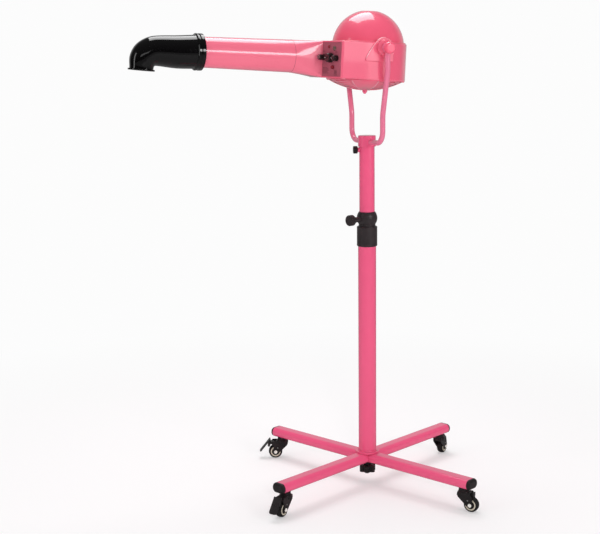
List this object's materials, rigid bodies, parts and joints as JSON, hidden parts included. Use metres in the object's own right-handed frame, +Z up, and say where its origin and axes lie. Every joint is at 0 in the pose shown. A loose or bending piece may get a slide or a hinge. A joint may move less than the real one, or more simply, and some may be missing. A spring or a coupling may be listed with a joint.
{
  "type": "floor-standing salon stand dryer",
  "caption": "Floor-standing salon dryer with a domed blower head in a tilting yoke, a long duct with a turning elbow nozzle, a telescopic pole and a castor base.",
  "frame": {"origin": "centre of the footprint's bounding box, on the floor under the castors", "axes": "+Z up; the duct and its nozzle point towards -X; the side with the control panel faces -Y"},
  "size_m": [0.9027, 0.6188, 1.1941],
  "materials": {
    "black_gloss": "gloss black",
    "black_matte": "matte black",
    "hub_grey": "satin beige-grey",
    "lamp_green": "translucent grey-green",
    "lamp_red": "translucent red",
    "mica": "mica board",
    "motor": "cast satin",
    "nichrome": "heat-darkened wire",
    "nylon": "natural nylon",
    "panel": "satin smoky pink",
    "pink_dome": "gloss pink moulding",
    "pink_gloss": "gloss pink enamel",
    "pink_pole": "gloss rose-pink enamel",
    "rubber": "matte black",
    "steel": "zinc-plated"
  },
  "bodies": {
    "base_frame": {"leg_front_left": "pink_pole", "leg_front_right": "pink_pole", "leg_rear_left": "pink_pole", "leg_rear_right": "pink_pole", "leg_end_caps": "black_matte", "castor_stems": "steel", "pole_foot": "pink_pole", "lower_pole": "pink_pole", "collar_bush": "nylon", "height_collar": "black_matte"},
    "star_knob": {"star_knob": "black_matte"},
    "collar_knob": {"collar_knob": "black_matte"},
    "mast": {"upper_pole": "pink_pole"},
    "thumb_screw": {"thumb_screw": "black_matte"},
    "yoke": {"yoke_sleeve": "pink_pole", "yoke_rod": "pink_pole"},
    "head": {"scroll_housing": "pink_gloss", "dome_cover": "pink_dome", "intake_grille": "pink_gloss", "grille_screws": "pink_gloss", "grille_nut": "pink_gloss", "inlet_ring": "pink_gloss", "outlet_transition": "pink_gloss", "duct_tube": "pink_gloss", "heater_frame": "mica", "heater_coils": "nichrome", "thermostat": "steel", "motor": "motor", "panel_plate": "panel", "pilot_lamp_red": "lamp_red", "pilot_lamp_green": "lamp_green", "tilt_bosses": "pink_gloss", "cable_gland": "black_matte"},
    "rotor": {"motor_shaft": "steel", "impeller": "motor"},
    "elbow": {"elbow_nozzle": "black_gloss"},
    "timer_knob": {"timer_knob": "black_matte"},
    "heat_knob": {"heat_knob": "black_matte"},
    "fan_knob": {"fan_knob": "black_matte"},
    "reset_button": {"reset_button": "lamp_red"},
    "pivot_knob_front": {"pivot_knob_front": "pink_dome"},
    "pivot_knob_rear": {"pivot_knob_rear": "pink_dome"},
    "castor_front_left": {"castor_front_left_fork": "black_matte", "castor_front_left_axle": "steel"},
    "wheel_front_left": {"castor_front_left_tyre": "rubber", "castor_front_left_hub": "hub_grey"},
    "pedal_front_left": {"castor_front_left_brake_pedal": "black_matte"},
    "castor_front_right": {"castor_front_right_fork": "black_matte", "castor_front_right_axle": "steel"},
    "wheel_front_right": {"castor_front_right_tyre": "rubber", "castor_front_right_hub": "hub_grey"},
    "castor_rear_left": {"castor_rear_left_fork": "black_matte", "castor_rear_left_axle": "steel"},
    "wheel_rear_left": {"castor_rear_left_tyre": "rubber", "castor_rear_left_hub": "hub_grey"},
    "pedal_rear_left": {"castor_rear_left_brake_pedal": "black_matte"},
    "castor_rear_right": {"castor_rear_right_fork": "black_matte", "castor_rear_right_axle": "steel"},
    "wheel_rear_right": {"castor_rear_right_tyre": "rubber", "castor_rear_right_hub": "hub_grey"}
  },
  "joints": [
    {"name": "star_knob_turn", "type": "hinge", "parent": "base_frame", "child": "star_knob", "pos_m": [0.14036, 0.00158, 0.04], "axis": [0, 0, 1], "range_deg": [-180, 180]},
    {"name": "collar_knob_turn", "type": "hinge", "parent": "base_frame", "child": "collar_knob", "pos_m": [0.09471, -0.01326, 0.6865], "axis": [-0.9511, -0.309, 0], "range_deg": [-180, 180]},
    {"name": "pole_height", "type": "slide", "parent": "base_frame", "child": "mast", "axis": [0, 0, 1], "range_m": [-0.14, 0.25]},
    {"name": "thumb_screw_turn", "type": "hinge", "parent": "mast", "child": "thumb_screw", "pos_m": [0.11167, 0.01035, 0.858], "axis": [-0.9563, 0.2924, 0], "range_deg": [-180, 180]},
    {"name": "yoke_swivel", "type": "hinge", "parent": "mast", "child": "yoke", "pos_m": [0.14036, 0.00158, 0.878], "axis": [0, 0, 1], "continuous": true},
    {"name": "head_tilt", "type": "hinge", "parent": "yoke", "child": "head", "pos_m": [0.14036, 0.00158, 1.105], "axis": [0, 1, 0], "range_deg": [-44, 60]},
    {"name": "fan_spin", "type": "hinge", "parent": "head", "child": "rotor", "pos_m": [0.14036, 0.00158, 1.105], "axis": [0.0523, 0, 0.9986], "continuous": true},
    {"name": "elbow_turn", "type": "hinge", "parent": "head", "child": "elbow", "pos_m": [-0.28048, 0.02158, 1.10002], "axis": [-0.9986, 0, 0.0523], "continuous": true},
    {"name": "pivot_knob_front_turn", "type": "hinge", "parent": "head", "child": "pivot_knob_front", "pos_m": [0.14036, -0.13342, 1.105], "axis": [0, -1, 0], "range_deg": [-180, 180]},
    {"name": "pivot_knob_rear_turn", "type": "hinge", "parent": "head", "child": "pivot_knob_rear", "pos_m": [0.14036, 0.13658, 1.105], "axis": [0, 1, 0], "range_deg": [-180, 180]},
    {"name": "timer_knob_turn", "type": "hinge", "parent": "head", "child": "timer_knob", "pos_m": [0.02147, -0.07689, 1.08219], "axis": [-0.9707, -0.2349, 0.0509], "range_deg": [0, 300]},
    {"name": "heat_knob_turn", "type": "hinge", "parent": "head", "child": "heat_knob", "pos_m": [0.01625, -0.05502, 1.08347], "axis": [-0.9707, -0.2349, 0.0509], "range_deg": [-120, 120]},
    {"name": "fan_knob_turn", "type": "hinge", "parent": "head", "child": "fan_knob", "pos_m": [0.01044, -0.03072, 1.08477], "axis": [-0.9707, -0.2349, 0.0509], "range_deg": [0, 90]},
    {"name": "reset_button_press", "type": "slide", "parent": "head", "child": "reset_button", "axis": [0.9707, 0.2349, -0.0509], "range_m": [0, 0.002], "stiffness_N_per_m": 300, "springref_m": -0.001},
    {"name": "castor_front_left_swivel", "type": "hinge", "parent": "base_frame", "child": "castor_front_left", "pos_m": [-0.13687, -0.12558, 0.045], "axis": [0, 0, 1], "continuous": true},
    {"name": "wheel_front_left_spin", "type": "hinge", "parent": "castor_front_left", "child": "wheel_front_left", "pos_m": [-0.15224, -0.13759, 0.0185], "axis": [0.6157, -0.788, 0], "continuous": true},
    {"name": "pedal_front_left_press", "type": "hinge", "parent": "castor_front_left", "child": "pedal_front_left", "pos_m": [-0.15736, -0.14159, 0.043], "axis": [0.6157, -0.788, 0], "range_deg": [0, 8]},
    {"name": "castor_front_right_swivel", "type": "hinge", "parent": "base_frame", "child": "castor_front_right", "pos_m": [0.26752, -0.27565, 0.045], "axis": [0, 0, 1], "continuous": true},
    {"name": "wheel_front_right_spin", "type": "hinge", "parent": "castor_front_right", "child": "wheel_front_right", "pos_m": [0.27952, -0.29102, 0.0185], "axis": [0.788, 0.6157, 0], "continuous": true},
    {"name": "castor_rear_left_swivel", "type": "hinge", "parent": "base_frame", "child": "castor_rear_left", "pos_m": [0.0132, 0.27881, 0.045], "axis": [0, 0, 1], "continuous": true},
    {"name": "wheel_rear_left_spin", "type": "hinge", "parent": "castor_rear_left", "child": "wheel_rear_left", "pos_m": [-0.00513, 0.28547, 0.0185], "axis": [-0.342, -0.9397, 0], "continuous": true},
    {"name": "pedal_rear_left_press", "type": "hinge", "parent": "castor_rear_left", "child": "pedal_rear_left", "pos_m": [-0.01123, 0.2877, 0.043], "axis": [-0.342, -0.9397, 0], "range_deg": [0, 8]},
    {"name": "castor_rear_right_swivel", "type": "hinge", "parent": "base_frame", "child": "castor_rear_right", "pos_m": [0.41759, 0.12874, 0.045], "axis": [0, 0, 1], "continuous": true},
    {"name": "wheel_rear_right_spin", "type": "hinge", "parent": "castor_rear_right", "child": "wheel_rear_right", "pos_m": [0.43295, 0.14074, 0.0185], "axis": [-0.6157, 0.788, 0], "continuous": true}
  ]
}
